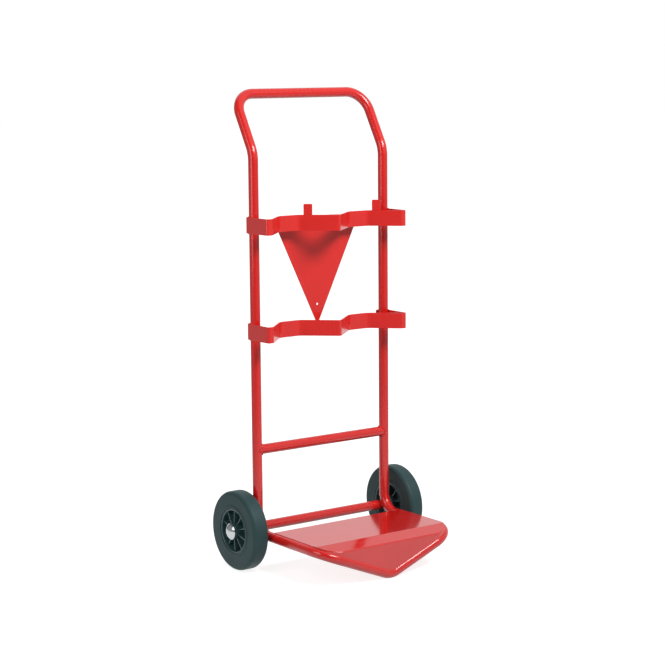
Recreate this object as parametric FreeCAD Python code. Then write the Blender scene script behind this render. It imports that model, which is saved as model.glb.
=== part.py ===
import FreeCAD
import Part
import math
import os

# Trolley for two fire extinguishers: a bent steel tube frame that stands on two wheels and a V foot.
# Millimetres. X runs across the trolley, +Y towards its back and +Z up. The origin lies on the floor,
# under the middle of the overall box.

# Frame tube
tube_d = 25.0
tube_wall = 1.5
upright_spacing = 400.0
side_tube_z = 88.5
bottom_bend_r = 50.0
handle_kink_z = 1040.0
handle_kink_r = 70.0
handle_lean_deg = 30.0
handle_arm_length = 165.0
handle_corner_r = 55.0
cross_tube_z = 301.0

# Toe: V foot in front and the folded plate that carries the cylinders
toe_reach = 283.0
toe_corner_r = 60.0
toe_tail_length = 30.0
foot_bend_r = 50.0
plate_thickness = 1.5
plate_bend_r = 3.0
plate_back_gap = 71.0
plate_slope_run = 41.5
plate_slope_drop = 10.7
plate_corner_r = 60.0
apron_lead = 7.0

# Cylinder brackets: two like flat bars, each bent into two three-sided cradles between hooked ends
bracket_thickness = 3.0
bracket_height = 40.0
lower_bracket_z = 600.0
upper_bracket_z = 864.0
bracket_reach = 78.0
bracket_nose_width = 14.0
bracket_bend_r = 5.5
cradle_flat_reach = 15.0
cradle_flat_width = 60.0
cradle_bend_r = 25.0
ridge_extra_reach = 6.0

# Strap lugs on the upper bracket
lug_width = 22.0
lug_height = 27.0
lug_corner_r = 3.0
lug_offset = 24.0

# Triangular sign plate, folded forward along its top
sign_thickness = 2.0
sign_bend_r = 3.0
sign_setback = 15.5
sign_top_drop = 7.0
sign_height = 279.0
sign_top_width = 268.0
sign_tip_r = 4.0
sign_hole_d = 6.0
sign_hole_rise = 53.0

# Wheels
wheel_d = 200.0
tyre_width = 46.0
tyre_shoulder_r = 10.0
tyre_lip_width = 7.0
tyre_lip_height = 1.5
tongue_width = 14.0
tongue_height = 2.0
hub_d = 112.0
hub_recess = 1.5
hub_rim_wall = 4.0
hub_web = 5.0
hub_boss_d = 40.0
hub_boss_length = 49.0
hub_draft = 1.5
hub_rib_count = 10
hub_rib_thickness = 3.0
hub_rib_recess_inside = 3.0
hub_rib_recess_outside = 5.0

# Roller bearing, axle and its end pieces
axle_d = 20.0
roller_d = 5.9
roller_length = 33.6
roller_count = 10
cage_wall = 3.2
cage_end_width = 3.2
axle_tube_overhang = 5.0
washer_d = 36.0
inner_washer_thickness = 2.5
outer_washer_thickness = 2.0
cap_d = 41.0
cap_rim = 2.0
cap_dome = 8.0
cap_sheet = 0.8
axle_end_chamfer = 1.0
axle_grip = 4.0

# Clearances
weld_gap = 0.1
tyre_fit = 0.05
roller_fit = 0.05
cage_fit = 0.1
axle_fit = 0.1
wheel_end_play = 0.5

# Derived frame lines
Vector = FreeCAD.Vector
X_AXIS = Vector(1, 0, 0)
Y_AXIS = Vector(0, 1, 0)
Z_AXIS = Vector(0, 0, 1)
tube_r = tube_d / 2
wheel_r = wheel_d / 2
half_spacing = upright_spacing / 2

# The axle tube lies against the back of the bottom bends, at wheel height.
bend_centre_z = side_tube_z + bottom_bend_r
bend_to_axle = bottom_bend_r + tube_d + weld_gap
axle_setback = math.sqrt(bend_to_axle**2 - (bend_centre_z - wheel_r) ** 2) - bottom_bend_r

# The box runs from the V foot's front to the tyres' back, and the origin is at its middle.
front_reach = toe_reach + tube_r
back_reach = axle_setback + wheel_r
upright_y = (front_reach - back_reach) / 2
axle_y = upright_y + axle_setback
toe_y = upright_y - toe_reach
joint_y = toe_y + toe_corner_r + toe_tail_length

# The arms lean back from the kink to the grip.
lean = math.radians(handle_lean_deg)
grip_y = upright_y + handle_arm_length * math.sin(lean)
grip_z = handle_kink_z + handle_arm_length * math.cos(lean)

# The legs of the V run as tangents to the foot bend, which touches the floor.
foot_rise = side_tube_z - tube_r - foot_bend_r
foot_slope = math.atan2(foot_rise, half_spacing)
foot_slope += math.asin(foot_bend_r / math.hypot(half_spacing, foot_rise))
foot_corner_z = side_tube_z - half_spacing * math.tan(foot_slope)

toe_half = [
    Vector(half_spacing, joint_y, side_tube_z),
    Vector(half_spacing, toe_y, side_tube_z),
    Vector(0, toe_y, foot_corner_z),
]
toe_radii = [toe_corner_r, foot_bend_r, toe_corner_r]

# Stations along the axle, from the middle outwards
axle_tube_end = half_spacing + tube_r + axle_tube_overhang
hub_inner_end = axle_tube_end + inner_washer_thickness + wheel_end_play
wheel_x = hub_inner_end + hub_boss_length / 2
outer_washer_x = wheel_x + hub_boss_length / 2 + wheel_end_play
cap_x = outer_washer_x + outer_washer_thickness
axle_end = cap_x + cap_sheet + axle_grip
axle_r = axle_d / 2
bearing_bore_r = axle_r + roller_d + 2 * roller_fit
SIDES = {"left": -1, "right": 1}


def bend_path(corners, radii):
    """Straight runs through sharp corners, with a tangent arc of its own radius at each corner."""
    edges = []
    start = corners[0]
    for before, corner, after, radius in zip(corners, corners[1:], corners[2:], radii):
        back = (before - corner).normalize()
        ahead = (after - corner).normalize()
        half_angle = back.getAngle(ahead) / 2
        inset = radius / math.tan(half_angle)
        arc_start = corner + back * inset
        arc_end = corner + ahead * inset
        bisector = (back + ahead).normalize()
        arc_middle = corner + bisector * (radius / math.sin(half_angle) - radius)
        edges.append(Part.LineSegment(start, arc_start).toShape())
        edges.append(Part.Arc(arc_start, arc_middle, arc_end).toShape())
        start = arc_end
    edges.append(Part.LineSegment(start, corners[-1]).toShape())
    return Part.Wire(edges)


def closed_face(path):
    """Face inside a path whose two ends are joined by a straight edge."""
    ends = path.OrderedVertexes
    closing = Part.LineSegment(ends[-1].Point, ends[0].Point).toShape()
    return Part.Face(Part.Wire(path.OrderedEdges + [closing]))


def disc(radius, centre, normal):
    return Part.Face(Part.Wire(Part.makeCircle(radius, centre, normal)))


def bent_bar(corners, radii, bar_r):
    """Round bar bent round the given corners."""
    section = disc(bar_r, corners[0], corners[1] - corners[0])
    return bend_path(corners, radii).makePipe(section)


def bent_tube(corners, radii):
    """Frame tube bent round the given corners, with its bore."""
    return bent_bar(corners, radii, tube_r).cut(bent_bar(corners, radii, tube_r - tube_wall))


def bent_sheet(corners, radii, across, width, thickness):
    """Flat bar or sheet bent along a path, with its width in the direction across."""
    heading = (corners[1] - corners[0]).normalize()
    side = heading.cross(across) * (thickness / 2)
    edge = across * (width / 2)
    start = corners[0]
    outline = [start + side + edge, start - side + edge, start - side - edge, start + side - edge]
    section = Part.Face(Part.makePolygon(outline + outline[:1]))
    return bend_path(corners, radii).makePipe(section)


def turned(profile):
    """Solid turned about the X axis from an outline of (x, radius) points."""
    points = [Vector(x, 0, radius) for x, radius in profile]
    return Part.Face(Part.makePolygon(points + points[:1])).revolve(Vector(), X_AXIS, 360)


def ring(inner_r, outer_r, start, end):
    return turned([(start, inner_r), (end, inner_r), (end, outer_r), (start, outer_r)])


def on_axle(shape, x=0.0):
    """Moves a shape made about the X axis to the axle."""
    return shape.translated(Vector(x, axle_y, wheel_r))


def mirrored(points):
    """Right-hand points followed by their left-hand images, in one run from right to left."""
    images = [Vector(-point.x, point.y, point.z) for point in reversed(points)]
    if abs(points[-1].x) < 1e-9:
        images = images[1:]
    return points + images


def frame_hoop():
    """Handle, uprights and side tubes of one bent tube."""
    half = [
        Vector(half_spacing, joint_y, side_tube_z),
        Vector(half_spacing, upright_y, side_tube_z),
        Vector(half_spacing, upright_y, handle_kink_z),
        Vector(half_spacing, grip_y, grip_z),
    ]
    radii = [bottom_bend_r, handle_kink_r, handle_corner_r]
    return bent_tube(mirrored(half), radii + radii[::-1])


def toe_bow():
    """Front tube that closes the side tubes and drops to the floor in a V."""
    return bent_tube(mirrored(toe_half), toe_radii)


def cross_tube():
    """Straight tube between the uprights, with its ends cut to their round."""
    start = Vector(-half_spacing, upright_y, cross_tube_z)
    tube = Part.makeCylinder(tube_r, upright_spacing, start, X_AXIS)
    tube = tube.cut(Part.makeCylinder(tube_r - tube_wall, upright_spacing, start, X_AXIS))
    for side in SIDES.values():
        foot = Vector(side * half_spacing, upright_y, cross_tube_z - tube_d)
        tube = tube.cut(Part.makeCylinder(tube_r + weld_gap, 2 * tube_d, foot, Z_AXIS))
    return tube


def axle_tube():
    return on_axle(ring(axle_r + axle_fit, tube_r, -axle_tube_end, axle_tube_end))


def toe_plate():
    """Sheet that lies on the side tubes, slopes over the toe's corners and stands on the V legs."""
    level = side_tube_z + tube_r + weld_gap + plate_thickness / 2
    back_y = upright_y - plate_back_gap
    apron_y = toe_y - apron_lead
    fold_y = apron_y + plate_slope_run
    path = [
        Vector(0, back_y, level),
        Vector(0, fold_y, level),
        Vector(0, apron_y, level - plate_slope_drop),
        Vector(0, apron_y, 0),
    ]
    sheet = bent_sheet(path, [plate_bend_r, plate_bend_r], X_AXIS, upright_spacing, plate_thickness)

    # Seen from above, the front corners are rounded like the tube below them.
    front_y = apron_y - plate_thickness / 2
    top = level + plate_thickness
    outline = mirrored([Vector(half_spacing, back_y, 0), Vector(half_spacing, front_y, 0)])
    plan = closed_face(bend_path(outline, [plate_corner_r, plate_corner_r]))
    sheet = sheet.common(plan.extrude(Z_AXIS * top))

    # Seen from the front, the apron ends on the legs and is cut to their round.
    front = mirrored(
        [
            Vector(half_spacing, front_y, top),
            Vector(half_spacing, front_y, side_tube_z),
            Vector(0, front_y, foot_corner_z),
        ]
    )
    sheet = sheet.common(Part.Face(Part.makePolygon(front + front[:1])).extrude(Y_AXIS * toe_reach))
    sheet = sheet.cut(bent_bar(mirrored(toe_half), toe_radii, tube_r + weld_gap))
    return sheet.removeSplitter()


def cradle_line(z):
    """Right half of a bracket's middle line, from the hook behind the upright to the ridge."""
    tube_to_line = tube_r + weld_gap + bracket_thickness / 2
    hook_y = upright_y + tube_to_line
    arm_x = half_spacing + tube_to_line
    cradle_x = arm_x / 2
    front_y = upright_y - bracket_reach
    flat_y = upright_y - cradle_flat_reach
    flat_half = cradle_flat_width / 2
    plan = [
        (half_spacing - tube_r, hook_y),
        (arm_x, hook_y),
        (arm_x, front_y),
        (arm_x - bracket_nose_width, front_y),
        (cradle_x + flat_half, flat_y),
        (cradle_x - flat_half, flat_y),
        (0, front_y - ridge_extra_reach),
    ]
    return [Vector(x, y, z) for x, y in plan]


def bracket(z):
    corners = mirrored(cradle_line(z))
    half_radii = [bracket_bend_r] * 3 + [cradle_bend_r] * 2
    radii = half_radii + [bracket_bend_r] + half_radii[::-1]
    return bent_sheet(corners, radii, Z_AXIS, bracket_height, bracket_thickness)


def strap_lug(side):
    """Upright tab on the top edge of the wall at the right of a cradle."""
    line = mirrored(cradle_line(upper_bracket_z + bracket_height / 2 + weld_gap))
    walls = {"right": (line[4], line[3]), "left": (line[7], line[6])}
    corner, wall_end = walls[side]
    along = (wall_end - corner).normalize()
    across = along.cross(Z_AXIS) * bracket_thickness
    near = corner + along * (lug_offset - lug_width / 2) - across * 0.5
    far = near + along * lug_width
    top = Z_AXIS * lug_height
    outline = bend_path([near, near + top, far + top, far], [lug_corner_r, lug_corner_r])
    return closed_face(outline).extrude(across)


def sign_plate():
    """Triangular sheet, tip down, whose folded top edge reaches the flats of the upper cradles."""
    plate_y = upright_y + sign_setback
    seat_y = upright_y - cradle_flat_reach + bracket_thickness / 2 + weld_gap
    top_z = upper_bracket_z + bracket_height / 2 - sign_top_drop
    tip_z = top_z - sign_height
    fold_z = top_z - sign_thickness / 2
    path = [Vector(0, seat_y, fold_z), Vector(0, plate_y, fold_z), Vector(0, plate_y, tip_z)]
    sheet = bent_sheet(path, [sign_bend_r], X_AXIS, sign_top_width, sign_thickness)

    half_top = sign_top_width / 2
    front = [Vector(-half_top, seat_y, top_z), Vector(0, seat_y, tip_z), Vector(half_top, seat_y, top_z)]
    depth = Y_AXIS * (plate_y + sign_thickness - seat_y)
    sheet = sheet.common(closed_face(bend_path(front, [sign_tip_r])).extrude(depth))
    hole_start = Vector(0, seat_y, tip_z + sign_hole_rise)
    return sheet.cut(Part.makeCylinder(sign_hole_d / 2, depth.y, hole_start, Y_AXIS))


def tyre():
    """Solid rubber ring with round shoulders, a raised bead at the hub and a tongue in the hub's groove."""
    bore = hub_d / 2 + tyre_fit
    half = tyre_width / 2
    wall = half - tyre_lip_height
    tongue_half = tongue_width / 2 - tyre_fit
    bead_top = bore + tyre_lip_width
    right = [
        (tongue_half, bore - tongue_height),
        (tongue_half, bore),
        (half, bore),
        (half, bead_top),
        (wall, bead_top + tyre_lip_height),
        (wall, wheel_r),
    ]
    left = [(-x, radius) for x, radius in reversed(right)]
    body = turned(right + left)
    crown = [edge for edge in body.Edges if abs(edge.BoundBox.ZLength - wheel_d) < weld_gap]
    rims = [edge for edge in crown if edge.BoundBox.XLength < weld_gap]
    return body.makeFillet(tyre_shoulder_r, rims)


def hub():
    """Moulded wheel centre: rim, web and boss, with radial ribs on both faces."""
    rim_r = hub_d / 2
    rim_half = tyre_width / 2 - hub_recess
    rim_inner = rim_r - hub_rim_wall
    boss_r = hub_boss_d / 2
    boss_half = hub_boss_length / 2
    web_half = hub_web / 2
    groove_half = tongue_width / 2
    right = [
        (boss_half, bearing_bore_r),
        (boss_half, boss_r),
        (web_half, boss_r + hub_draft),
        (web_half, rim_inner - hub_draft),
        (rim_half, rim_inner),
        (rim_half, rim_r),
        (groove_half, rim_r),
        (groove_half, rim_r - tongue_height),
    ]
    left = [(-x, radius) for x, radius in reversed(right)]
    body = turned(right + left)
    inside = rim_half - hub_rib_recess_inside
    outside = rim_half - hub_rib_recess_outside
    root = boss_r - hub_draft
    end = rim_inner + hub_draft
    rib_outline = [(-inside, root), (inside, root), (outside, end), (-outside, end)]
    points = [Vector(x, -hub_rib_thickness / 2, radius) for x, radius in rib_outline]
    rib = Part.Face(Part.makePolygon(points + points[:1])).extrude(Y_AXIS * hub_rib_thickness)
    ribs = []
    for index in range(hub_rib_count):
        ribs.append(rib.rotated(Vector(), X_AXIS, 360 * index / hub_rib_count))
    return body.fuse(ribs).removeSplitter()


def rollers():
    """Bearing rollers round the axle, apart from each other."""
    pitch_r = axle_r + roller_fit + roller_d / 2
    start = Vector(-roller_length / 2, 0, pitch_r)
    roller = Part.makeCylinder(roller_d / 2, roller_length, start, X_AXIS)
    turns = [360 * index / roller_count for index in range(roller_count)]
    return Part.makeCompound([roller.rotated(Vector(), X_AXIS, turn) for turn in turns])


def roller_cage():
    """Sleeve with one window for each roller."""
    pitch_r = axle_r + roller_fit + roller_d / 2
    window_half = roller_length / 2 + cage_fit
    cage_half = window_half + cage_end_width
    inner_r = pitch_r - cage_wall / 2
    outer_r = pitch_r + cage_wall / 2
    cage = ring(inner_r, outer_r, -cage_half, cage_half)
    window_width = roller_d + 2 * cage_fit
    corner = Vector(-window_half, -window_width / 2, inner_r / 2)
    window = Part.makeBox(2 * window_half, window_width, outer_r, corner)
    for index in range(roller_count):
        cage = cage.cut(window.rotated(Vector(), X_AXIS, 360 * index / roller_count))
    return cage


def axle_rod():
    end = axle_end - axle_end_chamfer
    flat = axle_r - axle_end_chamfer
    profile = [(-axle_end, flat), (-end, axle_r), (end, axle_r), (axle_end, flat)]
    return on_axle(turned([(-axle_end, 0)] + profile + [(axle_end, 0)]))


def washer(start, thickness):
    return on_axle(ring(axle_r + axle_fit, washer_d / 2, start, start + thickness))


def axle_cap():
    """Pressed dome whose flat base grips the end of the axle."""
    cap_r = cap_d / 2
    inner_r = cap_r - cap_sheet
    tip = cap_rim + cap_dome
    grip_r = axle_r + axle_fit
    skins = []
    for radius, top in ((cap_r, tip), (inner_r, tip - cap_sheet)):
        rise = top - cap_rim
        sphere_r = (radius**2 + rise**2) / (2 * rise)
        half_angle = math.asin(radius / sphere_r) / 2
        middle = (top - sphere_r * (1 - math.cos(half_angle)), sphere_r * math.sin(half_angle))
        skins.append(((cap_rim, radius), middle, (top, 0)))
    (outer_rim, outer_middle, outer_top), (inner_rim, inner_middle, inner_top) = skins
    base = [inner_rim, (cap_sheet, inner_r), (cap_sheet, grip_r), (0, grip_r), (0, cap_r), outer_rim]
    points = [Vector(x, 0, radius) for x, radius in base]
    edges = Part.makePolygon(points).Edges
    dome = [Vector(x, 0, radius) for x, radius in (outer_rim, outer_middle, outer_top)]
    hollow = [Vector(x, 0, radius) for x, radius in (inner_top, inner_middle, inner_rim)]
    edges.append(Part.Arc(*dome).toShape())
    edges.append(Part.LineSegment(dome[2], hollow[0]).toShape())
    edges.append(Part.Arc(*hollow).toShape())
    return Part.Face(Part.Wire(edges)).revolve(Vector(), X_AXIS, 360)


nodes = {
    "frame_hoop": frame_hoop(),
    "toe_bow": toe_bow(),
    "cross_tube": cross_tube(),
    "axle_tube": axle_tube(),
    "toe_plate": toe_plate(),
    "lower_bracket": bracket(lower_bracket_z),
    "upper_bracket": bracket(upper_bracket_z),
    "sign_plate": sign_plate(),
    "axle_rod": axle_rod(),
}
for name, side in SIDES.items():
    inner_washer = washer(axle_tube_end, inner_washer_thickness)
    outer_washer = washer(outer_washer_x, outer_washer_thickness)
    cap = on_axle(axle_cap(), cap_x)
    if side < 0:
        inner_washer = inner_washer.mirror(Vector(), X_AXIS)
        outer_washer = outer_washer.mirror(Vector(), X_AXIS)
        cap = cap.mirror(Vector(), X_AXIS)
    nodes[name + "_strap_lug"] = strap_lug(name)
    nodes[name + "_tyre"] = on_axle(tyre(), side * wheel_x)
    nodes[name + "_hub"] = on_axle(hub(), side * wheel_x)
    nodes[name + "_rollers"] = on_axle(rollers(), side * wheel_x)
    nodes[name + "_roller_cage"] = on_axle(roller_cage(), side * wheel_x)
    nodes[name + "_inner_washer"] = inner_washer
    nodes[name + "_outer_washer"] = outer_washer
    nodes[name + "_axle_cap"] = cap

os.makedirs("parts", exist_ok=True)
for name, shape in nodes.items():
    shape.exportStep("parts/" + name + ".step")
    box = shape.BoundBox
    size = f"{box.XLength:.1f} x {box.YLength:.1f} x {box.ZLength:.1f}"
    print(f"{name}: {len(shape.Solids)} solids, valid {shape.isValid()}, {shape.Volume:.0f} mm3, {size}")
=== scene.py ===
import math

import bmesh
import bpy
from mathutils import Matrix, Vector


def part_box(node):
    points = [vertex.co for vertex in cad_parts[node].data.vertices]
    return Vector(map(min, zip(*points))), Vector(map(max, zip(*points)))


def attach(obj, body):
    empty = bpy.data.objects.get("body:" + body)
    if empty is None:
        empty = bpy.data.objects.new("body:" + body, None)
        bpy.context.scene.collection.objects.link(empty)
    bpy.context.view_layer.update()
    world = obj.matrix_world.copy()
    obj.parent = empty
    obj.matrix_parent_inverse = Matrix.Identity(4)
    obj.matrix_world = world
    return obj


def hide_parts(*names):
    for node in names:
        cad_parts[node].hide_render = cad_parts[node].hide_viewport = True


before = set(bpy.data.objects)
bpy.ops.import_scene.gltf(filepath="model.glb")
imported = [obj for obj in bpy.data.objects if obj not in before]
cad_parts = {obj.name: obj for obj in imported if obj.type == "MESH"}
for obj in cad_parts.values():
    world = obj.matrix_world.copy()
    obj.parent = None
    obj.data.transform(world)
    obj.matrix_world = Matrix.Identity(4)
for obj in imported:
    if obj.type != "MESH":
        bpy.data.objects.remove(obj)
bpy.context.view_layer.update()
bpy.context.scene.view_settings.view_transform = "Standard"

# Frame hoop: one length of 25 mm steel tube, bent cold into grip, leaning handle arms, uprights
# and side tubes. It is welded to the other frame pieces, then all of it is blasted and powder coated
# in glossy signal red.
RED = (0.66, 0.0135, 0.0105, 1)
DEEP_RED = (0.55, 0.009, 0.0075, 1)
DUSTY_RED = (0.6, 0.09, 0.08, 1)
X_AXIS = Vector((1, 0, 0))
Z_AXIS = Vector((0, 0, 1))

hoop_low, hoop_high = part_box("frame_hoop")
cross_low, cross_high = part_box("cross_tube")
tube_r = (cross_high.z - cross_low.z) / 2
upright_y = (cross_high.y + cross_low.y) / 2
upright_x = hoop_high.x - tube_r
side_tube_z = hoop_low.z + tube_r
hoop_end_y = hoop_low.y
grip_y = hoop_high.y - tube_r
grip_z = hoop_high.z - tube_r
handle_lean = math.radians(30)
kink_z = grip_z - (grip_y - upright_y) / math.tan(handle_lean)
bottom_bend_r = 0.05
kink_r = 0.07
handle_corner_r = 0.055
tube_sides = 40
bend_step = math.radians(4)


def group_socket(group, name, kind, way, value=None):
    socket = group.interface.new_socket(name, in_out=way, socket_type="NodeSocket" + kind)
    if value is not None:
        socket.default_value = value


def noise(tree, place, scale, detail):
    """Noise on the piece's own coordinates."""
    texture = tree.nodes.new("ShaderNodeTexNoise")
    texture.inputs["Scale"].default_value = scale
    texture.inputs["Detail"].default_value = detail
    tree.links.new(place.outputs["Object"], texture.inputs["Vector"])
    return texture.outputs["Fac"]


def fade(tree, value, low, high, start=0, end=1):
    """Goes from start to end while the value goes from low to high."""
    node = tree.nodes.new("ShaderNodeMapRange")
    node.inputs["From Min"].default_value = low
    node.inputs["From Max"].default_value = high
    node.inputs["To Min"].default_value = start
    node.inputs["To Max"].default_value = end
    tree.links.new(value, node.inputs["Value"])
    return node.outputs["Result"]


def combine(tree, operation, first, second):
    """Product, maximum or the like of two values."""
    node = tree.nodes.new("ShaderNodeMath")
    node.operation = operation
    tree.links.new(first, node.inputs[0])
    tree.links.new(second, node.inputs[1])
    return node.outputs["Value"]


def blend_colour(tree, factor, under, over):
    node = tree.nodes.new("ShaderNodeMix")
    node.data_type = "RGBA"
    tree.links.new(factor, node.inputs[0])
    tree.links.new(under, node.inputs[6])
    tree.links.new(over, node.inputs[7])
    return node.outputs[2]


def scaled_sum(tree, value, scale, base):
    node = tree.nodes.new("ShaderNodeMath")
    node.operation = "MULTIPLY_ADD"
    node.inputs[1].default_value = scale
    tree.links.new(value, node.inputs[0])
    tree.links.new(base, node.inputs[2])
    return node.outputs["Value"]


def finish_group(name, colours, values):
    """Empty finish group with the given inputs and the three outputs that every finish has."""
    group = bpy.data.node_groups.new(name, "ShaderNodeTree")
    for socket, colour in colours.items():
        group_socket(group, socket, "Color", "INPUT", colour)
    for socket, value in values.items():
        group_socket(group, socket, "Float", "INPUT", value)
    group_socket(group, "Color", "Color", "OUTPUT")
    group_socket(group, "Roughness", "Float", "OUTPUT")
    group_socket(group, "Height", "Float", "OUTPUT")
    inputs = group.nodes.new("NodeGroupInput").outputs
    outputs = group.nodes.new("NodeGroupOutput").inputs
    place = group.nodes.new("ShaderNodeTexCoord")
    return group, inputs, outputs, place


def powder_coat_group():
    """Sprayed coat: slow drift of tone, dust that settles on upward faces, and orange peel."""
    colours = {"Coat": RED, "Deep": DEEP_RED, "Dust": DUSTY_RED}
    values = {"Dust Amount": 0.12, "Roughness": 0.17}
    tree, inputs, outputs, place = finish_group("powder_coat", colours, values)
    drift = fade(tree, noise(tree, place, scale=9, detail=3), 0.35, 0.7, end=0.35)
    tone = blend_colour(tree, drift, inputs["Coat"], inputs["Deep"])
    surface = tree.nodes.new("ShaderNodeNewGeometry")
    facing = tree.nodes.new("ShaderNodeSeparateXYZ")
    tree.links.new(surface.outputs["Normal"], facing.inputs["Vector"])
    upward = fade(tree, facing.outputs["Z"], 0.55, 1)
    specks = fade(tree, noise(tree, place, scale=420, detail=2), 0.58, 0.75)
    settled = combine(tree, "MULTIPLY", upward, specks)
    dust = combine(tree, "MULTIPLY", settled, inputs["Dust Amount"])
    tree.links.new(blend_colour(tree, dust, tone, inputs["Dust"]), outputs["Color"])
    tree.links.new(scaled_sum(tree, dust, 0.5, inputs["Roughness"]), outputs["Roughness"])
    tree.links.new(noise(tree, place, scale=300, detail=1), outputs["Height"])
    return tree


powder_coat = powder_coat_group()


def surface_material(name, group, settings, bump_mm, metallic=0.0):
    """Material whose colour, roughness and bump come from a finish group."""
    material = bpy.data.materials.new(name)
    material.use_nodes = True
    nodes = material.node_tree.nodes
    link = material.node_tree.links.new
    shader = nodes["Principled BSDF"]
    shader.inputs["Metallic"].default_value = metallic
    finish = nodes.new("ShaderNodeGroup")
    finish.node_tree = group
    for socket, value in settings.items():
        finish.inputs[socket].default_value = value
    bump = nodes.new("ShaderNodeBump")
    bump.inputs["Distance"].default_value = bump_mm / 1000
    link(finish.outputs["Color"], shader.inputs["Base Color"])
    link(finish.outputs["Roughness"], shader.inputs["Roughness"])
    link(finish.outputs["Height"], bump.inputs["Height"])
    link(bump.outputs["Normal"], shader.inputs["Normal"])
    return material


red_coat = surface_material("red_powder_coat", powder_coat, {}, bump_mm=0.0015)


def bend_along(corners, radii):
    """Draws the selected section out along straight runs, with a spin round each corner."""
    here = corners[0]
    for before, corner, after, radius in zip(corners, corners[1:], corners[2:], radii):
        back = (before - corner).normalized()
        ahead = (after - corner).normalized()
        half_angle = back.angle(ahead) / 2
        inset = radius / math.tan(half_angle)
        turn = math.pi - 2 * half_angle
        centre = corner + (back + ahead).normalized() * (radius / math.sin(half_angle))
        bpy.ops.mesh.extrude_region_move(TRANSFORM_OT_translate={"value": corner + back * inset - here})
        steps = max(4, round(turn / bend_step))
        bpy.ops.mesh.spin(steps=steps, angle=-turn, center=centre, axis=ahead.cross(back))
        here = corner + ahead * inset
    bpy.ops.mesh.extrude_region_move(TRANSFORM_OT_translate={"value": corners[-1] - here})


def close_shell():
    """Caps the open ends of the mesh in edit mode and points its faces outwards."""
    bpy.ops.mesh.select_all(action="SELECT")
    bpy.ops.mesh.remove_doubles(threshold=1e-6)
    bpy.ops.mesh.fill_holes(sides=0)
    bpy.ops.mesh.normals_make_consistent(inside=False)
    bpy.ops.object.mode_set(mode="OBJECT")


def apply_modifier(piece, kind, **settings):
    modifier = piece.modifiers.new(kind.lower(), kind)
    for name, value in settings.items():
        setattr(modifier, name, value)
    bpy.ops.object.modifier_apply(modifier=modifier.name)


def finish_piece(piece, material, body, slot, *stands_for, smooth=35):
    """Gives a finished mesh its shading, its material and its place in the frame."""
    bpy.ops.object.shade_smooth_by_angle(angle=math.radians(smooth))
    apply_modifier(piece, "WEIGHTED_NORMAL", keep_sharp=True)
    piece.data.materials.clear()
    piece.data.materials.append(material)
    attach(piece, body)
    if stands_for:
        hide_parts(*stands_for)


def start_piece(name, add_primitive, scale=(1, 1, 1), **settings):
    """Adds a primitive alone in the selection, applies its place and size, and opens it for editing."""
    bpy.ops.object.select_all(action="DESELECT")
    add_primitive(**settings)
    piece = bpy.context.object
    piece.name = name
    piece.scale = scale
    bpy.ops.object.transform_apply(location=True, rotation=True, scale=True)
    bpy.ops.object.mode_set(mode="EDIT")
    bpy.ops.mesh.select_mode(type="VERT")
    bpy.ops.mesh.select_all(action="SELECT")
    return piece


def facing_along(corners):
    return (corners[1] - corners[0]).to_track_quat("Z", "Y").to_euler()


def bent_tube(name, corners, radii):
    add = bpy.ops.mesh.primitive_circle_add
    turn = facing_along(corners)
    piece = start_piece(name, add, vertices=tube_sides, radius=tube_r, location=corners[0], rotation=turn)
    bend_along(corners, radii)
    close_shell()
    return piece


def mirrored(corners):
    """Right-hand corners followed by their left-hand images."""
    images = [Vector((-corner.x, corner.y, corner.z)) for corner in reversed(corners)]
    return corners + (images[1:] if abs(corners[-1].x) < 1e-9 else images)


hoop_half = [
    Vector((upright_x, hoop_end_y, side_tube_z)),
    Vector((upright_x, upright_y, side_tube_z)),
    Vector((upright_x, upright_y, kink_z)),
    Vector((upright_x, grip_y, grip_z)),
]
hoop_bends = [bottom_bend_r, kink_r, handle_corner_r]
hoop = bent_tube("hoop_tube", mirrored(hoop_half), hoop_bends + hoop_bends[::-1])
finish_piece(hoop, red_coat, "frame", "red_paint", "frame_hoop")

# Toe bow: a second length of the same tube, butt welded to the side tubes, that closes the frame in front.
# Its two legs drop to the middle and meet in a tight bend, which stands on the floor as the third foot.
bow_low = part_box("toe_bow")[0]
toe_y = bow_low.y + tube_r
toe_corner_r = 0.06
foot_bend_r = 0.05
foot_bend_z = bow_low.z + tube_r + foot_bend_r
foot_slope = math.atan2(side_tube_z - foot_bend_z, upright_x)
foot_slope += math.asin(foot_bend_r / math.hypot(upright_x, side_tube_z - foot_bend_z))
foot_corner_z = side_tube_z - upright_x * math.tan(foot_slope)
bow_half = [
    Vector((upright_x, hoop_end_y, side_tube_z)),
    Vector((upright_x, toe_y, side_tube_z)),
    Vector((0, toe_y, foot_corner_z)),
]
bow = bent_tube("toe_bow_tube", mirrored(bow_half), [toe_corner_r, foot_bend_r, toe_corner_r])
finish_piece(bow, red_coat, "frame", "red_paint", "toe_bow")

# Cross tube: a straight tube between the uprights, its ends notched to their round and welded all round.
# Each weld is a rippled bead of steel, which the coat covers like the rest.
SIDES = (("left", -1), ("right", 1))
cross_z = (cross_low.z + cross_high.z) / 2
cross_bead_r = 0.0022
cross_bead_reach = tube_r + 0.3 * cross_bead_r
bead_swell = 0.16
ripple_points = 4
ripple_pitch = 1.2


def take_up(piece):
    """Makes a piece the only selected one, and the active one."""
    bpy.ops.object.select_all(action="DESELECT")
    piece.select_set(True)
    bpy.context.view_layer.objects.active = piece


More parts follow.
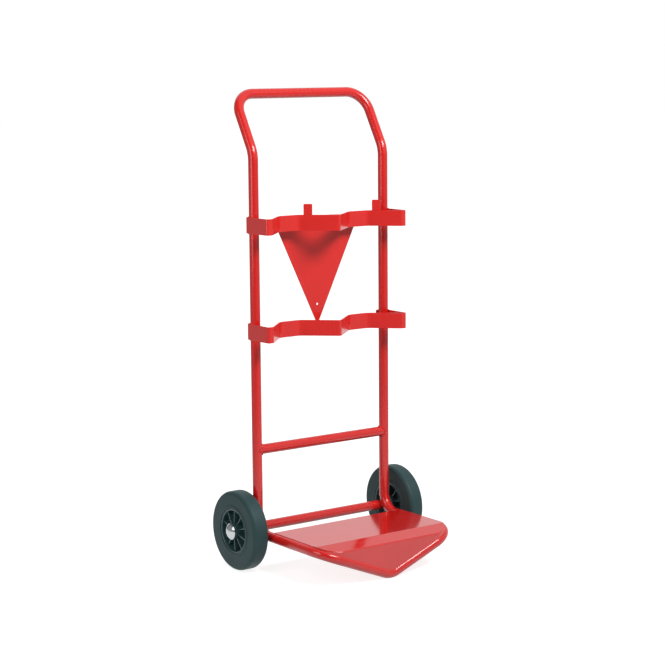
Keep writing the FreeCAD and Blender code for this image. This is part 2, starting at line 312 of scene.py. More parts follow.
def weld_bead(name, line, bead_r, closed=False):
    """Rippled bead along a line of points: a round sweep that swells once for every pool of metal."""
    curve = bpy.data.curves.new(name, "CURVE")
    curve.dimensions = "3D"
    curve.bevel_depth = bead_r
    curve.bevel_resolution = 3
    curve.use_fill_caps = True
    spline = curve.splines.new("POLY")
    spline.points.add(len(line) - 1)
    spline.use_cyclic_u = closed
    for index, (point, place) in enumerate(zip(spline.points, line)):
        point.co = (*place, 1)
        point.radius = 1 - bead_swell + bead_swell * math.sin(2 * math.pi * index / ripple_points)
    piece = bpy.data.objects.new(name, curve)
    bpy.context.scene.collection.objects.link(piece)
    take_up(piece)
    bpy.ops.object.convert(target="MESH")
    bpy.ops.object.mode_set(mode="EDIT")
    close_shell()
    finish_piece(bpy.context.object, red_coat, "frame", "red_paint", smooth=60)


def bead_points(length, bead_r):
    """Number of points for a bead of this length, a few to each ripple."""
    return ripple_points * max(2, round(length / (ripple_pitch * bead_r)))


def ring_angles(ring_r, bead_r):
    """Angles of the points of a bead that runs once round a ring."""
    count = bead_points(2 * math.pi * ring_r, bead_r)
    return [2 * math.pi * index / count for index in range(count)]


cross_ends = [Vector((sign * upright_x, upright_y, cross_z)) for _, sign in SIDES]
cross_bar = bent_tube("cross_tube_bar", cross_ends, [])
for vertex in cross_bar.data.vertices:
    depth = math.sqrt(max(0, tube_r**2 - (vertex.co.y - upright_y) ** 2))
    vertex.co.x = math.copysign(upright_x - depth, vertex.co.x)
finish_piece(cross_bar, red_coat, "frame", "red_paint", "cross_tube")
for side, sign in SIDES:
    seam = []
    for angle in ring_angles(tube_r, cross_bead_r):
        y = cross_bead_reach * math.sin(angle)
        depth = math.sqrt(max(0, cross_bead_reach**2 - y**2))
        z = cross_z + cross_bead_reach * math.cos(angle)
        seam.append(Vector((sign * (upright_x - depth), upright_y + y, z)))
    weld_bead(f"cross_tube_weld_{side}", seam, cross_bead_r, closed=True)

# Axle tube: a thick-walled tube across the backs of the bottom bends, which carries the axle.
# It only touches each bend at one point, so the bead runs round that point in the crevice.
axle_low, axle_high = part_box("axle_tube")
axle_y = (axle_low.y + axle_high.y) / 2
axle_z = (axle_low.z + axle_high.z) / 2
axle_middle = Vector((0, axle_y, axle_z))
rod_low, rod_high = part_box("axle_rod")
rod_play = 0.0001
axle_bore_r = (rod_high.z - rod_low.z) / 2 + rod_play
bore_easing = 0.0004
end_easing = 0.0008
axle_bead_r = 0.0024
crevice_r = 0.0075
round_steps = 6
tolerance = 1e-5
add_plane = bpy.ops.mesh.primitive_plane_add


def pick(kind, test):
    """Selects the corners, edges or faces in edit mode that lie wholly where the test says."""
    bpy.ops.mesh.select_mode(type=kind)
    bpy.ops.mesh.select_all(action="DESELECT")
    cage = bmesh.from_edit_mesh(bpy.context.object.data)
    items = {"VERT": cage.verts, "EDGE": cage.edges, "FACE": cage.faces}[kind]
    for item in items:
        corners = [item] if kind == "VERT" else item.verts
        if all(test(corner.co) for corner in corners):
            item.select_set(True)
    cage.select_flush_mode()
    bmesh.update_edit_mesh(bpy.context.object.data)


def is_near(place, *targets):
    return any((place - target).length < tolerance for target in targets)


def turned_piece(name, profile, steps):
    """Closed outline of (x, radius, rounding) corners, drawn, rounded and spun about the axle."""
    points = [Vector((x, axle_y, axle_z + radius)) for x, radius, rounding in profile]
    piece = start_piece(name, add_plane, size=0.001, location=points[0])
    bpy.ops.mesh.merge(type="CENTER")
    for here, there in zip(points, points[1:]):
        bpy.ops.mesh.extrude_region_move(TRANSFORM_OT_translate={"value": there - here})
    pick("VERT", lambda place: is_near(place, points[0], points[-1]))
    bpy.ops.mesh.edge_face_add()
    for size in sorted({rounding for x, radius, rounding in profile if rounding}):
        corners = [point for point, (x, radius, rounding) in zip(points, profile) if rounding == size]
        pick("VERT", lambda place: is_near(place, *corners))
        bpy.ops.mesh.bevel(affect="VERTICES", offset=size, segments=round_steps, profile=0.5)
    bpy.ops.mesh.select_all(action="SELECT")
    bpy.ops.mesh.spin(steps=steps, angle=2 * math.pi, center=axle_middle, axis=X_AXIS)
    close_shell()
    return piece


sleeve_end = axle_high.x
sleeve_profile = [
    (-sleeve_end, axle_bore_r, bore_easing),
    (-sleeve_end, tube_r, end_easing),
    (sleeve_end, tube_r, end_easing),
    (sleeve_end, axle_bore_r, bore_easing),
]
sleeve = turned_piece("axle_tube_sleeve", sleeve_profile, steps=48)
finish_piece(sleeve, red_coat, "frame", "red_paint", "axle_tube")

bend_centre = Vector((0, upright_y - bottom_bend_r, side_tube_z + bottom_bend_r))
towards_axle = (axle_middle - bend_centre).normalized()
beside = X_AXIS.cross(towards_axle)
for side, sign in SIDES:
    touch = bend_centre + towards_axle * (bottom_bend_r + tube_r) + X_AXIS * sign * upright_x
    seam = []
    for angle in ring_angles(crevice_r, axle_bead_r):
        seam.append(touch + (X_AXIS * math.cos(angle) + beside * math.sin(angle)) * crevice_r)
    weld_bead(f"axle_tube_weld_{side}", seam, axle_bead_r, closed=True)

# Toe plate: one sheet of 1.5 mm steel that lies on the side tubes, slopes over the corners of the toe bow
# and goes down round them to the legs of the V as an apron. It is stitch welded from below.
# Its coat is the glossiest of all.
plate_low, plate_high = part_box("toe_plate")
plate_sheet = 0.0015
plate_bend_r = 0.003
plate_corner_r = 0.06
slope_run = 0.0415
slope_drop = 0.0107
deck_z = plate_high.z - plate_sheet / 2
deck_half = plate_high.x
apron_y = plate_low.y + plate_sheet / 2
fold_y = apron_y + slope_run
fold_z = deck_z - slope_drop
slope_turn = math.atan2(slope_drop, slope_run)
apron_wrap = 0.021
apron_start_y = apron_y + apron_wrap
apron_blank = 0.06
apron_least = 0.005
apron_cuts = 63
corner_steps = 24
seat_overlap = 0.0004
sheet_easing = 0.0004
easing_limit = math.radians(50)

plate_tone = {"Roughness": 0.11, "Dust Amount": 0.08}
plate_coat = surface_material("red_plate_coat", powder_coat, plate_tone, bump_mm=0.003)
plate_coat.node_tree.nodes["Principled BSDF"].inputs["IOR"].default_value = 1.6


def ease_edges(piece, easing):
    """Rounds off the cut edges a little, as blasting and the coat leave them."""
    limits = {"limit_method": "ANGLE", "angle_limit": easing_limit}
    apply_modifier(piece, "BEVEL", width=easing, segments=3, **limits)


def thicken(piece, sheet):
    apply_modifier(piece, "SOLIDIFY", thickness=sheet, offset=0, use_even_offset=True)


def fold_edge(test, radius, turn):
    """Rounds a fold to its bending radius."""
    pick("EDGE", test)
    bpy.ops.mesh.bevel(affect="EDGES", offset=radius * math.tan(turn / 2), segments=round_steps)


def strip_z(y):
    """Height of the sheet before it goes down as the apron."""
    return deck_z - max(0, fold_y - y) * slope_drop / slope_run


def bow_top(x, y):
    """Height at which a plumb line meets the round of the toe bow, or a little below it."""
    return bow.ray_cast((x, y, deck_z), -Z_AXIS)[1].z - seat_overlap


def is_front(place):
    return place.y < apron_start_y


def is_foot(place):
    """Whether a point lies on the lower edge of the apron."""
    return place.z < fold_z - plate_bend_r


plate_middle = Vector((0, (plate_high.y + apron_y) / 2, deck_z))
plate_size = (2 * deck_half, plate_high.y - apron_y, 1)
plate = start_piece("toe_plate_sheet", add_plane, plate_size, size=1, location=plate_middle)
pick("VERT", is_front)
bpy.ops.mesh.bevel(affect="VERTICES", offset=plate_corner_r, segments=corner_steps, profile=0.5)
bpy.ops.mesh.select_all(action="SELECT")
bpy.ops.mesh.bisect(plane_co=(0, fold_y, deck_z), plane_no=(0, 1, 0))
cage = bmesh.from_edit_mesh(plate.data)
for corner in cage.verts:
    corner.co.z = strip_z(corner.co.y)
bmesh.update_edit_mesh(plate.data)
pick("EDGE", is_front)
bpy.ops.mesh.extrude_region_move(TRANSFORM_OT_translate={"value": (0, 0, -apron_blank)})
pick("EDGE", lambda place: is_foot(place) and place.y < apron_y + tolerance)
bpy.ops.mesh.subdivide(number_cuts=apron_cuts)
cage = bmesh.from_edit_mesh(plate.data)
for corner in cage.verts:
    if is_foot(corner.co):
        corner.co.z = min(bow_top(corner.co.x, corner.co.y), strip_z(corner.co.y) - apron_least)
bmesh.update_edit_mesh(plate.data)
fold_edge(lambda place: abs(place.y - fold_y) < tolerance, plate_bend_r, slope_turn)
apron_turn = math.pi / 2 - slope_turn
fold_edge(lambda place: is_front(place) and place.z > fold_z - tolerance, plate_bend_r, apron_turn)
bpy.ops.mesh.select_all(action="SELECT")
bpy.ops.mesh.normals_make_consistent(inside=False)
bpy.ops.object.mode_set(mode="OBJECT")
thicken(plate, plate_sheet)
ease_edges(plate, sheet_easing)
finish_piece(plate, plate_coat, "frame", "red_paint", "toe_plate")

stitch_r = 0.0016
stitch_length = 0.018
deck_stitch_starts = (-0.125, -0.055, 0.0)
deck_stitch_x = upright_x - 0.0065
deck_stitch_z = deck_z - plate_sheet / 2 - 0.5 * stitch_r
apron_stitch_starts = (0.035, 0.075)
apron_stitch_y = apron_y + plate_sheet / 2 + 0.4 * stitch_r
apron_stitch_lift = 0.9 * stitch_r


def straight_bead(name, start, end, bead_r):
    count = bead_points((end - start).length, bead_r)
    weld_bead(name, [start.lerp(end, index / count) for index in range(count + 1)], bead_r)


def apron_seam(sign, x):
    """Point of the seam behind the apron, on a leg of the V."""
    return Vector((sign * x, apron_stitch_y, bow_top(x, apron_y) + apron_stitch_lift))


for side, sign in SIDES:
    for number, y in enumerate(deck_stitch_starts):
        start = Vector((sign * deck_stitch_x, y, deck_stitch_z))
        end = start + Vector((0, stitch_length, 0))
        straight_bead(f"deck_stitch_{side}_{number}", start, end, stitch_r)
    for number, x in enumerate(apron_stitch_starts):
        start = apron_seam(sign, x)
        end = apron_seam(sign, x + stitch_length)
        straight_bead(f"apron_stitch_{side}_{number}", start, end, stitch_r)

# Cylinder brackets: two like flat bars of 40 x 3 mm, hooked round the uprights and bent into two cradles
# each. Beads along the top and bottom edges weld the hooks to the tubes.
# Painted light: the bars' red is the frame's red made lighter and paler, standing for more light and a
# satin sheen on the front faces of the bars, lugs and sign; the paint is the same.
LIT_BAR_RED = (0.72, 0.022, 0.018, 1)
DEEP_LIT_BAR_RED = (0.63, 0.017, 0.014, 1)
bar_low, bar_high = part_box("lower_bracket")
bar_thickness = 0.003
bar_easing = 0.0006
bar_bend_r = 0.0055
cradle_bend_r = 0.025
cradle_reach = 0.078
cradle_depth = 0.063
nose_width = 0.014
flat_half = 0.03
ridge_extra = 0.006
hook_bead_r = 0.0015
hook_bead_reach = tube_r + 0.0011
hook_bead_rise = 0.0005
hook_bead_arc = math.radians(60)
hook_bead_points = 25

lit_bar_tone = {"Coat": LIT_BAR_RED, "Deep": DEEP_LIT_BAR_RED, "Roughness": 0.2}
lit_bar_coat = surface_material("red_lit_bar_coat", powder_coat, lit_bar_tone, bump_mm=0.012)
arm_x = bar_high.x - bar_thickness / 2
hook_y = bar_high.y - bar_thickness / 2
front_y = upright_y - cradle_reach
flat_y = front_y + cradle_depth
cradle_x = arm_x / 2
bar_z = (bar_low.z + bar_high.z) / 2
bar_height = bar_high.z - bar_low.z
bar_half = [
    Vector((upright_x - tube_r, hook_y, bar_z)),
    Vector((arm_x, hook_y, bar_z)),
    Vector((arm_x, front_y, bar_z)),
    Vector((arm_x - nose_width, front_y, bar_z)),
    Vector((cradle_x + flat_half, flat_y, bar_z)),
    Vector((cradle_x - flat_half, flat_y, bar_z)),
    Vector((0, front_y - ridge_extra, bar_z)),
]
bar_bends = [bar_bend_r] * 3 + [cradle_bend_r] * 2


def flat_bar(name, corners, radii, thickness, height):
    section = (thickness, height, 1)
    turn = facing_along(corners)
    piece = start_piece(name, add_plane, section, size=1, location=corners[0], rotation=turn)
    bpy.ops.mesh.delete(type="ONLY_FACE")
    bpy.ops.mesh.select_all(action="SELECT")
    bend_along(corners, radii)
    close_shell()
    return piece


def copy_piece(piece, name, move):
    """Copy with a mesh of its own, carried to its place in edit mode by the given move."""
    take_up(piece)
    bpy.ops.object.duplicate(linked=False)
    twin = bpy.context.object
    twin.name = name
    bpy.ops.object.mode_set(mode="EDIT")
    bpy.ops.mesh.select_all(action="SELECT")
    move()
    bpy.ops.mesh.normals_make_consistent(inside=False)
    bpy.ops.object.mode_set(mode="OBJECT")
    return twin


upper_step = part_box("upper_bracket")[0].z - bar_low.z


def lift_to_upper():
    bpy.ops.transform.translate(value=(0, 0, upper_step))


def hook_seam(sign, middle, z):
    """Line along an edge of the bar, round a sixth of the upright."""
    seam = []
    for index in range(hook_bead_points):
        angle = middle + hook_bead_arc * (index / (hook_bead_points - 1) - 0.5)
        x = sign * (upright_x + hook_bead_reach * math.cos(angle))
        seam.append(Vector((x, upright_y + hook_bead_reach * math.sin(angle), z)))
    return seam


all_bends = bar_bends + [bar_bend_r] + bar_bends[::-1]
lower_bar = flat_bar("lower_bracket_bar", mirrored(bar_half), all_bends, bar_thickness, bar_height)
ease_edges(lower_bar, bar_easing)
upper_bar = copy_piece(lower_bar, "upper_bracket_bar", lift_to_upper)
finish_piece(upper_bar, lit_bar_coat, "frame", "red_paint", "upper_bracket")
take_up(lower_bar)
finish_piece(lower_bar, lit_bar_coat, "frame", "red_paint", "lower_bracket")
bar_edges = (("bottom", bar_low.z - hook_bead_rise), ("top", bar_high.z + hook_bead_rise))
hook_places = (("outside", 0), ("behind", math.pi / 2))
for level, step in (("lower", 0), ("upper", upper_step)):
    for side, sign in SIDES:
        for edge, z in bar_edges:
            for place, middle in hook_places:
                name = f"{level}_bracket_weld_{side}_{edge}_{place}"
                weld_bead(name, hook_seam(sign, middle, z + step), hook_bead_r)

# Strap lugs: two short tabs of the same flat bar with rounded corners, for the straps round the cylinders.
# They stand on the top edge of the upper bracket and are welded along their feet.
lug_low, lug_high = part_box("right_strap_lug")
lug_width = 0.022
lug_corner_r = 0.003
lug_bead_r = 0.0012
lug_bead_half = 0.42 * lug_width
lug_bead_lift = 0.0004
lug_height = lug_high.z - lug_low.z


def lug_place(node, wall_start, wall_end):
    """Middle of a lug's foot and its turn about the vertical, from its box and the wall it stands on."""
    low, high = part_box(node)
    along = wall_end - wall_start
    return Vector(((low.x + high.x) / 2, (low.y + high.y) / 2, low.z)), math.atan2(along.y, along.x)


def stand_lug(place, turn):
    """Turns and moves a lug from the origin to its wall."""
    bpy.ops.transform.rotate(value=-turn, orient_axis="Z", center_override=(0, 0, 0))
    bpy.ops.transform.translate(value=place)


upright_turn = (math.pi / 2, 0, 0)
tab_size = (lug_width, lug_height, 1)
tab_middle = (0, 0, lug_height / 2)
tab = start_piece("strap_lug_tab", add_plane, tab_size, size=1, location=tab_middle, rotation=upright_turn)
pick("VERT", lambda place: place.z > lug_height - tolerance)
bpy.ops.mesh.bevel(affect="VERTICES", offset=lug_corner_r, segments=round_steps, profile=0.5)
bpy.ops.object.mode_set(mode="OBJECT")
thicken(tab, bar_thickness)
ease_edges(tab, bar_easing)
ridge = bar_half[-1]
right_nose, right_flat_end = bar_half[3:5]
left_flat_end = Vector((flat_half - cradle_x, flat_y, bar_z))
lug_places = {
    "left": lug_place("left_strap_lug", left_flat_end, ridge),
    "right": lug_place("right_strap_lug", right_flat_end, right_nose),
}
for side, (place, turn) in lug_places.items():
    lug = copy_piece(tab, f"{side}_strap_lug_tab", lambda: stand_lug(place, turn))
    finish_piece(lug, lit_bar_coat, "frame", "red_paint", f"{side}_strap_lug")
    along = Vector((math.cos(turn), math.sin(turn), 0))
    behind = Vector((-along.y, along.x, 0))
    foot = place + behind * bar_thickness / 2 + Z_AXIS * lug_bead_lift
    half = along * lug_bead_half
    straight_bead(f"{side}_strap_lug_weld", foot - half, foot + half, lug_bead_r)
bpy.data.objects.remove(tab)

# Sign plate: a triangular sheet of 2 mm steel with one small hole near its tip, hung tip down.
# Its top edge is folded forward and welded to the backs of the upper cradles.
# It has the coat of the flat bars.
sign_low, sign_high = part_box("sign_plate")
sign_sheet = 0.002
sign_bend_r = 0.003
sign_tip_r = 0.004
sign_height = 0.279
sign_hole_r = 0.003
sign_hole_rise = 0.053
drill_depth = 0.01
sign_bead_r = 0.0014
sign_bead_length = 0.035
sign_bead_x = cradle_x - 0.02
sign_y = sign_high.y - sign_sheet / 2
flange_y = sign_low.y
flange_z = sign_high.z - sign_sheet / 2
tip_z = sign_high.z - sign_height
sign_half = sign_high.x
sign_bead_y = flange_y + 0.0006
sign_bead_z = sign_high.z + 0.0003

flange_middle = (0, (sign_y + flange_y) / 2, flange_z)
flange_size = (2 * sign_half, sign_y - flange_y, 1)
sign_plate = start_piece("sign_plate_sheet", add_plane, flange_size, size=1, location=flange_middle)
pick("EDGE", lambda place: place.y > sign_y - tolerance)
bpy.ops.mesh.extrude_region_move(TRANSFORM_OT_translate={"value": (0, 0, tip_z - flange_z)})
bpy.ops.mesh.merge(type="CENTER")
tip_half_angle = math.atan2(sign_half, flange_z - tip_z)
pick("VERT", lambda place: place.z < tip_z + tolerance)
tip_inset = sign_tip_r / math.tan(tip_half_angle)
bpy.ops.mesh.bevel(affect="VERTICES", offset=tip_inset, segments=8, profile=0.5)
fold_edge(lambda place: is_near(place, Vector((place.x, sign_y, flange_z))), sign_bend_r, math.pi / 2)
bpy.ops.mesh.select_all(action="SELECT")
bpy.ops.mesh.normals_make_consistent(inside=False)
bpy.ops.object.mode_set(mode="OBJECT")
thicken(sign_plate, sign_sheet)
hole = Vector((0, sign_y, tip_z + sign_hole_rise))
drill_shape = {"vertices": 40, "radius": sign_hole_r, "depth": drill_depth}
drill_add = bpy.ops.mesh.primitive_cylinder_add
drill = start_piece("drill", drill_add, location=hole, rotation=upright_turn, **drill_shape)
bpy.ops.object.mode_set(mode="OBJECT")
take_up(sign_plate)
apply_modifier(sign_plate, "BOOLEAN", object=drill, operation="DIFFERENCE", solver="EXACT")
bpy.data.objects.remove(drill)
ease_edges(sign_plate, sheet_easing)
finish_piece(sign_plate, lit_bar_coat, "frame", "red_paint", "sign_plate")
for side, sign in SIDES:
    start = Vector((sign * sign_bead_x, sign_bead_y, sign_bead_z))
    end = start + X_AXIS * sign * sign_bead_length
    straight_bead(f"sign_plate_weld_{side}", start, end, sign_bead_r)

# Tyres: solid rubber rings, pressed on the hubs, grey-black with round shoulders and a raised bead
# by the hub. The two halves of the mould leave a fine line round the middle of the tread.
RUBBER = (0.022, 0.054, 0.057, 1)
WORN_RUBBER = (0.031, 0.065, 0.067, 1)
PALE_DUST = (0.2, 0.21, 0.2, 1)
tyre_low, tyre_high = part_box("right_tyre")
hub_low, hub_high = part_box("right_hub")
wheel_x = (tyre_low.x + tyre_high.x) / 2
wheel_r = (tyre_high.z - tyre_low.z) / 2
tyre_half = (tyre_high.x - tyre_low.x) / 2
hub_r = (hub_high.z - hub_low.z) / 2
tyre_lip = 0.007
lip_step = 0.0015
shoulder_r = 0.01
mould_line = 0.0004
seat_easing = 0.0004
lip_easing = 0.0006


def moulded_group():
    """Moulded rubber or plastic: cloudy tone, fine grain, and pale dust caught in the grain."""
    colours = {"Base": RUBBER, "Cloud": WORN_RUBBER, "Dust": PALE_DUST}
    values = {"Cloud Amount": 0.4, "Dust Amount": 0.08, "Roughness": 0.5}
    tree, inputs, outputs, place = finish_group("moulded_skin", colours, values)
    patches = fade(tree, noise(tree, place, scale=22, detail=5), 0.35, 0.75)
    clouded = combine(tree, "MULTIPLY", patches, inputs["Cloud Amount"])
    tone = blend_colour(tree, clouded, inputs["Base"], inputs["Cloud"])
    grain = noise(tree, place, scale=900, detail=2)
    dust = combine(tree, "MULTIPLY", fade(tree, grain, 0.6, 0.8), inputs["Dust Amount"])
    tree.links.new(blend_colour(tree, dust, tone, inputs["Dust"]), outputs["Color"])
    tree.links.new(scaled_sum(tree, clouded, 0.12, inputs["Roughness"]), outputs["Roughness"])
    tree.links.new(grain, outputs["Height"])
    return tree


moulded_skin = moulded_group()
rubber = surface_material("tyre_rubber", moulded_skin, {}, bump_mm=0.02)
rubber.node_tree.nodes["Principled BSDF"].inputs["Specular IOR Level"].default_value = 0.22


def both_faces(right_half):
    """Closed outline of a wheel piece from its right half, which starts at the bore."""
    right = [(wheel_x + x, radius, rounding) for x, radius, rounding in right_half]
    left = [(wheel_x - x, radius, rounding) for x, radius, rounding in reversed(right_half)]
    return right + left


def mirror_across():
    bpy.ops.transform.resize(value=(-1, 1, 1), center_override=(0, 0, 0))


lip_r = hub_r + tyre_lip
wall = tyre_half - lip_step
tyre_right = [
    (tyre_half, hub_r, seat_easing),
    (tyre_half, lip_r, lip_easing),
    (wall, lip_r + lip_step, lip_easing),
    (wall, wheel_r, shoulder_r),
    (2 * mould_line, wheel_r - mould_line / 2, 0),
    (mould_line, wheel_r, 0),
]
right_tyre = turned_piece("right_tyre_ring", both_faces(tyre_right), steps=128)
left_tyre = copy_piece(right_tyre, "left_tyre_ring", mirror_across)
finish_piece(left_tyre, rubber, "left_wheel", "tyre_rubber", "left_tyre", smooth=40)
take_up(right_tyre)
finish_piece(right_tyre, rubber, "right_wheel", "tyre_rubber", "right_tyre", smooth=40)

# Hubs: moulded in black plastic, each with a rim, a web, a boss round the bearing and ten ribs
# on each face. Walls and ribs are drafted and have soft edges, so that they leave the mould.
HUB_BLACK = (0.038, 0.088, 0.094, 1)
HUB_CLOUD = (0.05, 0.1, 0.105, 1)
hub_half = (hub_high.x - hub_low.x) / 2
rim_step = 0.0015
rim_half = tyre_half - rim_step
rim_wall = 0.004
rim_inner = hub_r - rim_wall
web_half = 0.0025
web_fillet = 0.0012
draft = 0.0015
boss_r = 0.02
fit_gap = 0.00005
bearing_bore_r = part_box("right_rollers")[1].z - axle_z + fit_gap
bore_edge = 0.0005
hub_edge = 0.0007
rim_edge = 0.003
rib_count = 10
rib_half = 0.0015
rib_inside = rim_half - 0.003
rib_outside = rim_half - 0.005

hub_tone = {"Base": HUB_BLACK, "Cloud": HUB_CLOUD, "Roughness": 0.3, "Dust Amount": 0.04}
hub_skin = surface_material("hub_plastic", moulded_skin, hub_tone, bump_mm=0.012)
hub_right = [
    (hub_half, bearing_bore_r, bore_edge),
    (hub_half, boss_r, hub_edge),
    (web_half, boss_r + draft, web_fillet),
    (web_half, rim_inner - draft, web_fillet),
    (rim_half, rim_inner, rim_edge),
    (rim_half, hub_r - fit_gap, hub_edge),
]
right_hub = turned_piece("right_hub_moulding", both_faces(hub_right), steps=120)

rib_root = boss_r - draft
rib_end = rim_inner + draft
rib_middle = Vector((wheel_x, axle_y, axle_z + (rib_root + rib_end) / 2))
rib_size = (2 * rib_inside, 2 * rib_half, rib_end - rib_root)
ribs = start_piece("hub_ribs", bpy.ops.mesh.primitive_cube_add, rib_size, size=1, location=rib_middle)
pick("VERT", lambda place: place.z > rib_middle.z)
bpy.ops.transform.resize(value=(rib_outside / rib_inside, 1, 1), center_override=rib_middle)
bpy.ops.mesh.select_mode(type="EDGE")
bpy.ops.mesh.select_all(action="DESELECT")
cage = bmesh.from_edit_mesh(ribs.data)
for edge in cage.edges:
    edge.select_set(abs(edge.verts[0].co.z - edge.verts[1].co.z) > tolerance)
bmesh.update_edit_mesh(ribs.data)
bpy.ops.mesh.bevel(affect="EDGES", offset=hub_edge, segments=3)
bpy.ops.mesh.select_all(action="SELECT")
last_turn = 2 * math.pi * (rib_count - 1) / rib_count
bpy.ops.mesh.spin(steps=rib_count - 1, angle=last_turn, center=axle_middle, axis=X_AXIS, dupli=True)
bpy.ops.object.mode_set(mode="OBJECT")
take_up(right_hub)
apply_modifier(right_hub, "BOOLEAN", object=ribs, operation="UNION", solver="EXACT")
bpy.data.objects.remove(ribs)
left_hub = copy_piece(right_hub, "left_hub_moulding", mirror_across)
finish_piece(left_hub, hub_skin, "left_wheel", "hub_plastic", "left_hub")
take_up(right_hub)
finish_piece(right_hub, hub_skin, "right_wheel", "hub_plastic", "right_hub")

# Roller bearings: hardened steel rollers in a nylon cage, which run between the axle and the boss
# of each hub. They hardly show, so the solids of the frame stay and only get their finishes.
BEARING_STEEL = (0.6, 0.6, 0.59, 1)
TARNISH = (0.4, 0.4, 0.38, 1)
NYLON = (0.55, 0.52, 0.45, 1)
NYLON_CLOUD = (0.5, 0.46, 0.38, 1)


def metal_group():
    """Bare or plated metal: cloudy tarnish and the fine marks of tools."""
    colours = {"Base": BEARING_STEEL, "Tarnish": TARNISH}
    values = {"Tarnish Amount": 0.4, "Roughness": 0.25}
    tree, inputs, outputs, place = finish_group("plated_metal", colours, values)
    amount = combine(tree, "MULTIPLY", noise(tree, place, scale=90, detail=6), inputs["Tarnish Amount"])
    tree.links.new(blend_colour(tree, amount, inputs["Base"], inputs["Tarnish"]), outputs["Color"])
    tree.links.new(scaled_sum(tree, amount, 0.15, inputs["Roughness"]), outputs["Roughness"])
    tree.links.new(noise(tree, place, scale=1500, detail=2), outputs["Height"])
    return tree


plated_metal = metal_group()
roller_tone = {"Roughness": 0.18}
roller_steel = surface_material("roller_steel", plated_metal, roller_tone, bump_mm=0.002, metallic=1)
nylon_tone = {"Base": NYLON, "Cloud": NYLON_CLOUD, "Dust": NYLON, "Roughness": 0.42}
nylon = surface_material("cage_nylon", moulded_skin, nylon_tone, bump_mm=0.01)
for side, _ in SIDES:
    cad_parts[f"{side}_rollers"].data.materials[0] = roller_steel
    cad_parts[f"{side}_roller_cage"].data.materials[0] = nylon

# Axle: a steel rod, zinc plated, right through the axle tube and both wheels.
# A plain washer runs on each side of each hub.
ZINC = (0.63, 0.63, 0.6, 1)
zinc_tone = {"Base": ZINC, "Roughness": 0.28}
zinc = surface_material("zinc_plate", plated_metal, zinc_tone, bump_mm=0.003, metallic=1)
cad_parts["axle_rod"].data.materials[0] = zinc
for side, _ in SIDES:
    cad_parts[f"{side}_inner_washer"].data.materials[0] = zinc
    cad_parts[f"{side}_outer_washer"].data.materials[0] = zinc

# Axle caps: thin domes of spring steel, pressed to shape and chromed bright.
# They are pushed tight on the axle ends and keep the wheels on.
CHROME = (0.42, 0.45, 0.46, 1)
chrome_tone = {"Base": CHROME, "Tarnish Amount": 0.1, "Roughness": 0.12}
chrome = surface_material("cap_chrome", plated_metal, chrome_tone, bump_mm=0.0005, metallic=1)
for side, _ in SIDES:
    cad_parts[f"{side}_axle_cap"].data.materials[0] = chrome

# Studio: a white paper sweep under and behind the trolley, a pale ceiling and pale walls in a dim room,
# which bright finishes mirror. The camera sees floor and surround as plain white, and the floor keeps
# the trolley's soft shadow.
WHITE = (1, 1, 1, 1)
FLOOR_GREY = (0.5, 0.5, 0.5, 1)
ROOM_LEVEL = 0.12
WALL_LEVEL = 0.5
FLOOR_LEVEL = 0.84
SURROUND_LIGHT = 0.26
SWEEP_HEADING = (0.59, 0.807, 0)
SWEEP_RIM = (0.72, 0.88)
WALL_HEADINGS = ((0.6, -0.8, 0), (1, 0, 0), (-0.9, 0.43, 0))
WALL_RIM = (0.6, 0.88)
CEILING_RIM = (-0.07, 0.06)
CEILING_SHADE = (-0.45, -0.1)
floor_width = 60
lit_floor = (0.9, 2.2)
shaded_floor = (0.5, 2)
trolley_middle = (0, 0, 0.6)
grip_middle = (0, 0, 1.2)
bpy.ops.object.select_all(action="DESELECT")
add_plane(size=floor_width, location=(0, 0, 0))
floor = bpy.context.object
floor.name = "studio_floor"


def vector_node(tree, operation, first, second=(0, 0, 0)):
    node = tree.nodes.new("ShaderNodeVectorMath")
    node.operation = operation
    node.inputs[1].default_value = second
    tree.links.new(first, node.inputs[0])
    return node


def choose(tree, switch, otherwise, chosen):
    """One value where the switch is 0, and another where it is 1."""
    node = tree.nodes.new("ShaderNodeMix")
    tree.links.new(switch, node.inputs["Factor"])
    for socket, value in (("A", otherwise), ("B", chosen)):
        if isinstance(value, (int, float)):
            node.inputs[socket].default_value = value
        else:
            tree.links.new(value, node.inputs[socket])
    return node.outputs["Result"]


def sweep_group():
    """How white the room looks in a direction: whichever is brightest of sweep, ceiling and walls."""
    tree = bpy.data.node_groups.new("white_sweep", "ShaderNodeTree")
    group_socket(tree, "Direction", "Vector", "INPUT")
    group_socket(tree, "Level", "Float", "OUTPUT")
    way = tree.nodes.new("NodeGroupInput").outputs["Direction"]
    unit = vector_node(tree, "NORMALIZE", way).outputs["Vector"]
    towards = vector_node(tree, "DOT_PRODUCT", unit, SWEEP_HEADING).outputs["Value"]
    sweep = fade(tree, towards, *SWEEP_RIM, start=ROOM_LEVEL)
    parts = tree.nodes.new("ShaderNodeSeparateXYZ")
    tree.links.new(unit, parts.inputs["Vector"])
    above = fade(tree, parts.outputs["Z"], *CEILING_RIM)
    shade = fade(tree, parts.outputs["X"], *CEILING_SHADE, start=ROOM_LEVEL)
    brightest = combine(tree, "MAXIMUM", sweep, combine(tree, "MULTIPLY", above, shade))
    for heading in WALL_HEADINGS:
        sideways = vector_node(tree, "DOT_PRODUCT", unit, heading).outputs["Value"]
        wall_level = fade(tree, sideways, *WALL_RIM, end=WALL_LEVEL)
        brightest = combine(tree, "MAXIMUM", brightest, wall_level)
    tree.links.new(brightest, tree.nodes.new("NodeGroupOutput").inputs["Level"])
    return tree


white_sweep = sweep_group()


def sweep_level(tree, direction):
    node = tree.nodes.new("ShaderNodeGroup")
    node.node_tree = white_sweep
    tree.links.new(direction, node.inputs["Direction"])
    return node.outputs["Level"]


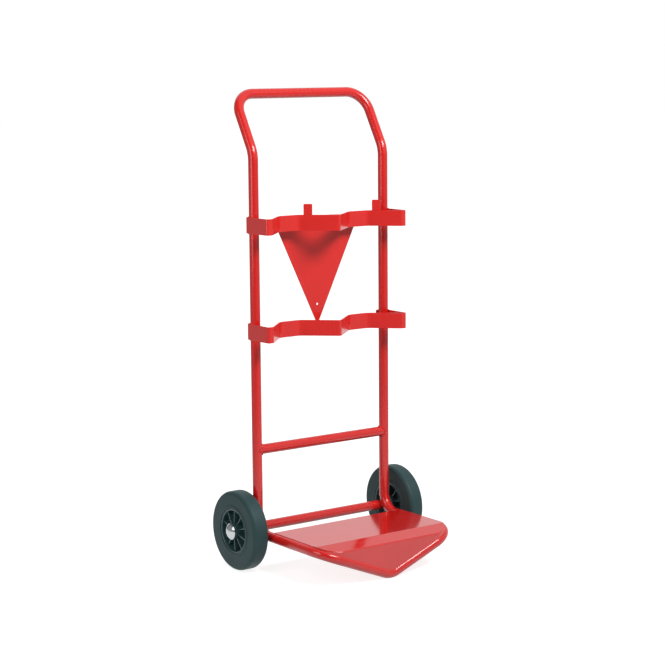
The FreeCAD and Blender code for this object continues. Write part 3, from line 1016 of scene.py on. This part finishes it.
floor_paint = bpy.data.materials.new("floor_paint")
floor_paint.use_nodes = True
tree = floor_paint.node_tree
floor_shader = tree.nodes["Principled BSDF"]
floor_shader.inputs["Base Color"].default_value = FLOOR_GREY
floor_shader.inputs["Roughness"].default_value = 0.9
floor_shader.inputs["Specular IOR Level"].default_value = 0
floor_shader.inputs["Emission Color"].default_value = WHITE
rays = tree.nodes.new("ShaderNodeLightPath").outputs
spot = tree.nodes.new("ShaderNodeTexCoord").outputs["Object"]
distance = vector_node(tree, "LENGTH", spot).outputs["Value"]
near = fade(tree, distance, *lit_floor, start=1, end=ROOM_LEVEL)
seen_from_middle = vector_node(tree, "SUBTRACT", spot, trolley_middle).outputs["Vector"]
mirrored_level = combine(tree, "MAXIMUM", near, sweep_level(tree, seen_from_middle))
glow = choose(tree, rays["Is Glossy Ray"], 0, mirrored_level)
seen = combine(tree, "MAXIMUM", rays["Is Camera Ray"], rays["Is Transmission Ray"])
white = fade(tree, distance, *shaded_floor, start=FLOOR_LEVEL)
tree.links.new(choose(tree, seen, glow, white), floor_shader.inputs["Emission Strength"])
floor.data.materials.append(floor_paint)

world = bpy.data.worlds.new("studio")
bpy.context.scene.world = world
world.use_nodes = True
tree = world.node_tree
surround = tree.nodes["Background"]
surround.inputs["Color"].default_value = WHITE
rays = tree.nodes.new("ShaderNodeLightPath").outputs
mirrored_level = sweep_level(tree, tree.nodes.new("ShaderNodeTexCoord").outputs["Generated"])
level = choose(tree, rays["Is Glossy Ray"], SURROUND_LIGHT, mirrored_level)
seen = combine(tree, "MAXIMUM", rays["Is Camera Ray"], rays["Is Transmission Ray"])
tree.links.new(choose(tree, seen, level, 1), surround.inputs["Strength"])


def softbox(name, place, target, width, height, power):
    lamp = bpy.data.lights.new(name, "AREA")
    lamp.shape = "RECTANGLE"
    lamp.size = width
    lamp.size_y = height
    lamp.energy = power
    holder = bpy.data.objects.new(name, lamp)
    bpy.context.scene.collection.objects.link(holder)
    holder.location = place
    holder.rotation_euler = (Vector(target) - Vector(place)).to_track_quat("-Z", "Y").to_euler()


softbox("key_softbox", (0.35, -2.1, 2.7), trolley_middle, width=1.6, height=0.8, power=80)
softbox("fill_softbox", (-2.1, -0.35, 1.4), grip_middle, width=1.1, height=1.7, power=16)

# Camera: in front of the trolley's left side at the height of the grip, with a long lens.
# Its place, turn and lens come from the lines of the photograph.
eye_place = (-2.7424, -3.7162, 1.259)
eye_heading = math.radians(-36.126)
eye_pitch = math.radians(90 - 8.248)
eye_roll = math.radians(-0.474)
camera = bpy.data.cameras.new("photo_camera")
camera.lens = 100.97
camera.sensor_width = 36
eye = bpy.data.objects.new("photo_camera", camera)
bpy.context.scene.collection.objects.link(eye)
heading = Matrix.Rotation(eye_heading, 3, "Z")
pitch = Matrix.Rotation(eye_pitch, 3, "X")
roll = Matrix.Rotation(eye_roll, 3, "Z")
eye.matrix_world = Matrix.Translation(eye_place) @ (heading @ pitch @ roll).to_4x4()
bpy.context.scene.camera = eye
